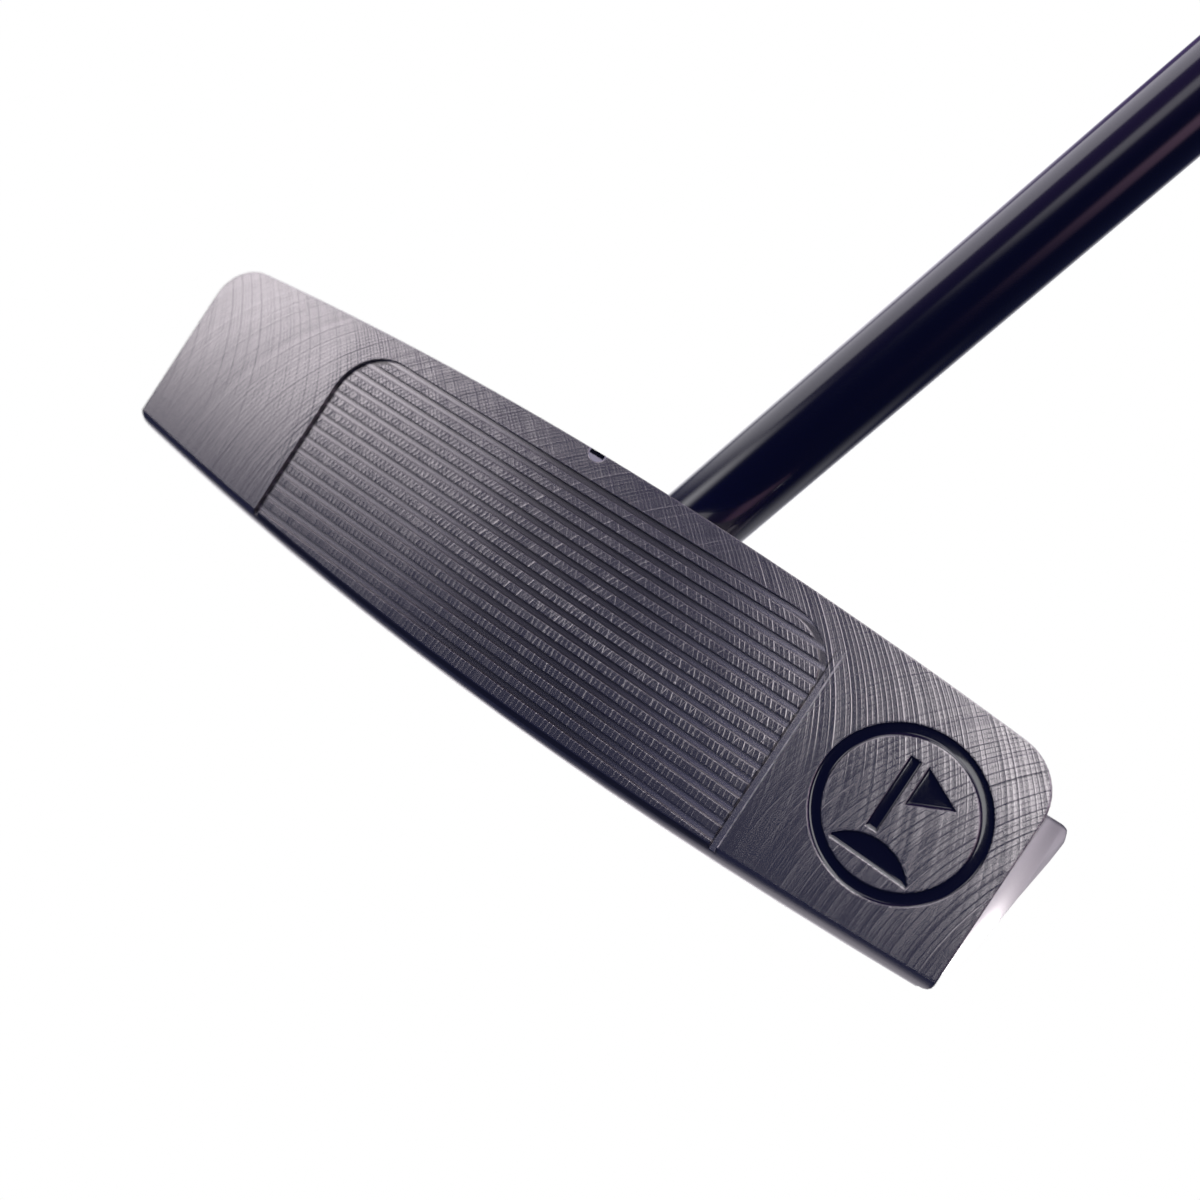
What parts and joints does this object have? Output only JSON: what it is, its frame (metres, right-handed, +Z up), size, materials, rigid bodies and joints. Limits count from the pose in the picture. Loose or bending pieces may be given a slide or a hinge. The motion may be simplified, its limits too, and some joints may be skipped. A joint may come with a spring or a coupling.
{
  "type": "blade putter",
  "caption": "Centre-shafted blade putter: milled steel head with a grooved face, paint-filled badge and sight line, black stepped shaft and a flat-front grip.",
  "frame": {"origin": "point where the shaft axis pierces the ground plane, on the flat of the sole, under the sight line", "axes": "+X towards the heel (the shaft leans to +X), -Y out of the striking face, +Z up with the club standing at address"},
  "size_m": [0.349, 0.0321, 0.8343],
  "materials": {
    "milled_steel": "fly-cut graphite-grey milled steel, satin",
    "navy_enamel": "glossy navy-black paint fill",
    "white_enamel": "white paint fill",
    "black_enamel": "black paint fill",
    "black_shaft": "high-gloss black coating on steel",
    "epoxy": "cured epoxy",
    "plug": "cork",
    "tape": "double-sided tape",
    "core_rubber": "foamed rubber",
    "grip_rubber": "matte textured rubber",
    "collar_rubber": "satin rubber",
    "cap_rubber": "satin rubber"
  },
  "bodies": {
    "root": {"head_body": "milled_steel", "badge_ring_enamel": "navy_enamel", "badge_flagpole_enamel": "navy_enamel", "badge_pennant_enamel": "navy_enamel", "badge_green_enamel": "navy_enamel", "sight_line_white": "white_enamel", "sight_line_stripe": "black_enamel", "shaft_tube": "black_shaft", "shaft_bond": "epoxy", "shaft_tip_plug": "plug", "grip_tape": "tape", "grip_core": "core_rubber", "grip_skin": "grip_rubber", "grip_collar": "collar_rubber", "grip_end_cap": "cap_rubber"}
  },
  "joints": []
}
